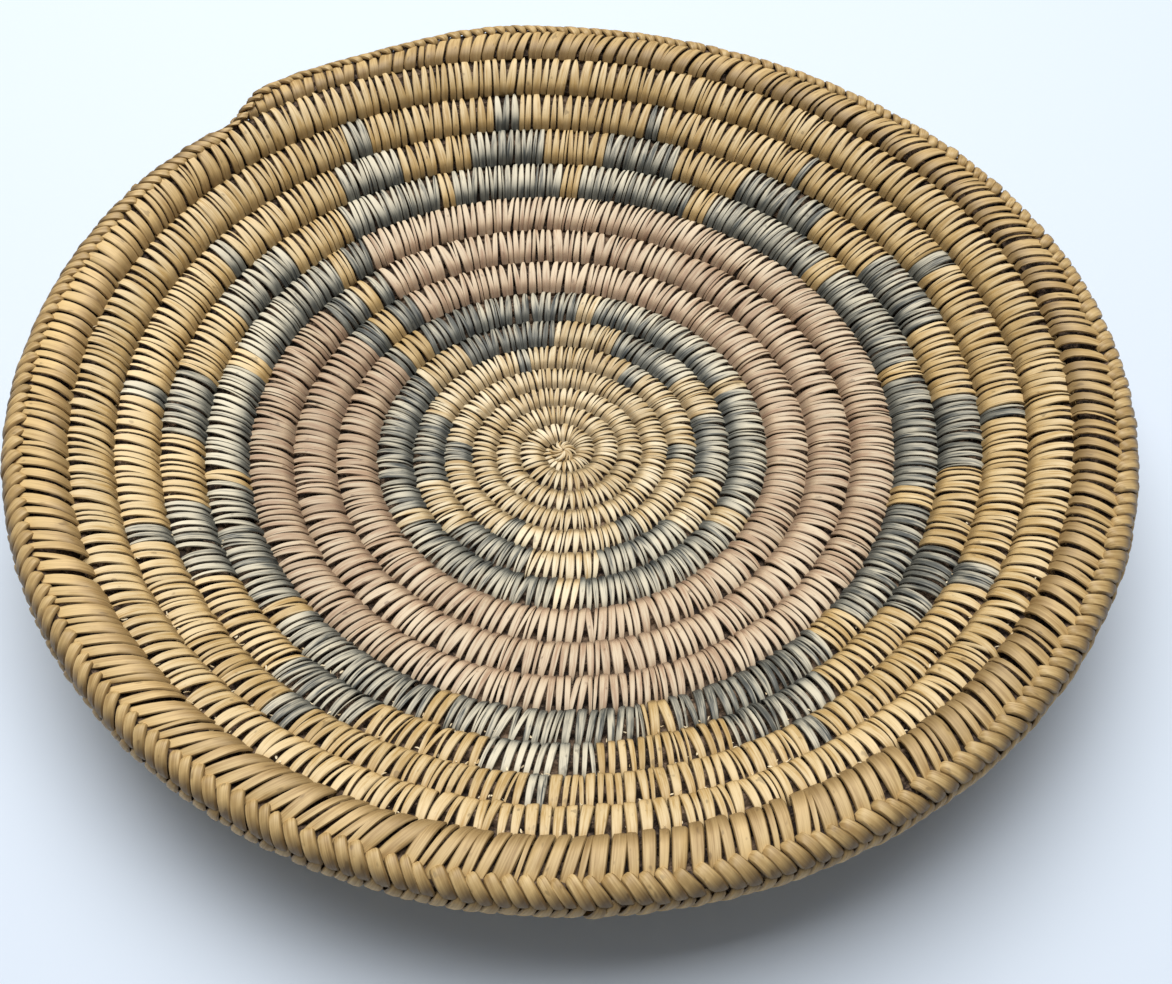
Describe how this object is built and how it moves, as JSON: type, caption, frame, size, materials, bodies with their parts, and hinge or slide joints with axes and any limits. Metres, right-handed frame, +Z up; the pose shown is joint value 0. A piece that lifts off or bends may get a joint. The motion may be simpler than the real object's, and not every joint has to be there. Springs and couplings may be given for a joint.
{
  "type": "coiled ceremonial basket",
  "caption": "Shallow round coiled basket sewn with flat splints: dark stepped rings round a pale centre and a faded red band, broken by a pathway, under a false-braid rim.",
  "frame": {"origin": "on the surface that the basket stands on, under the middle of its bounding box", "axes": "+Z up, out of the open bowl; the pathway runs outward from the middle at 142.5 degrees from +X towards +Y; -Y faces the picture's viewer"},
  "size_m": [0.3206, 0.3246, 0.0517],
  "materials": {
    "undyed_sumac": "split and scraped sumac splints, golden tan, satin",
    "undyed_sumac_rim": "split sumac splints darkened by handling, satin",
    "black_dyed_sumac": "sumac splints dyed blue-black, faded to grey on the crowns, satin",
    "faded_red_sumac": "sumac splints dyed red and faded to a dusty pink-brown, matte",
    "willow_rods": "peeled willow rods, weathered brown, matte"
  },
  "bodies": {
    "root": {"start_knot": "undyed_sumac", "natural_centre": "undyed_sumac", "inner_dark_step_1": "black_dyed_sumac", "inner_dark_step_2": "black_dyed_sumac", "inner_dark_step_3": "black_dyed_sumac", "inner_dark_step_4": "black_dyed_sumac", "inner_dark_step_5": "black_dyed_sumac", "inner_dark_step_6": "black_dyed_sumac", "inner_natural_step_1": "undyed_sumac", "inner_natural_step_2": "undyed_sumac", "inner_natural_step_3": "undyed_sumac", "inner_natural_step_4": "undyed_sumac", "inner_natural_step_5": "undyed_sumac", "inner_natural_step_6": "undyed_sumac", "red_row_1": "faded_red_sumac", "red_row_2": "faded_red_sumac", "red_row_3": "faded_red_sumac", "pathway": "undyed_sumac", "pathway_border_left": "black_dyed_sumac", "pathway_border_right": "black_dyed_sumac", "outer_dark_step_1": "black_dyed_sumac", "outer_dark_step_2": "black_dyed_sumac", "outer_dark_step_3": "black_dyed_sumac", "outer_dark_step_4": "black_dyed_sumac", "outer_dark_step_5": "black_dyed_sumac", "outer_dark_step_6": "black_dyed_sumac", "outer_dark_step_7": "black_dyed_sumac", "outer_dark_step_8": "black_dyed_sumac", "outer_dark_step_9": "black_dyed_sumac", "outer_dark_step_10": "black_dyed_sumac", "outer_dark_step_11": "black_dyed_sumac", "outer_dark_step_12": "black_dyed_sumac", "outer_dark_step_13": "black_dyed_sumac", "outer_natural_step_1": "undyed_sumac", "outer_natural_step_2": "undyed_sumac", "outer_natural_step_3": "undyed_sumac", "outer_natural_step_4": "undyed_sumac", "outer_natural_step_5": "undyed_sumac", "outer_natural_step_6": "undyed_sumac", "outer_natural_step_7": "undyed_sumac", "outer_natural_step_8": "undyed_sumac", "outer_natural_step_9": "undyed_sumac", "outer_natural_step_10": "undyed_sumac", "outer_natural_step_11": "undyed_sumac", "outer_natural_step_12": "undyed_sumac", "outer_natural_step_13": "undyed_sumac", "natural_row": "undyed_sumac", "rim_coil": "undyed_sumac_rim", "rim_braid": "undyed_sumac_rim", "rod_foundation": "willow_rods"}
  },
  "joints": []
}
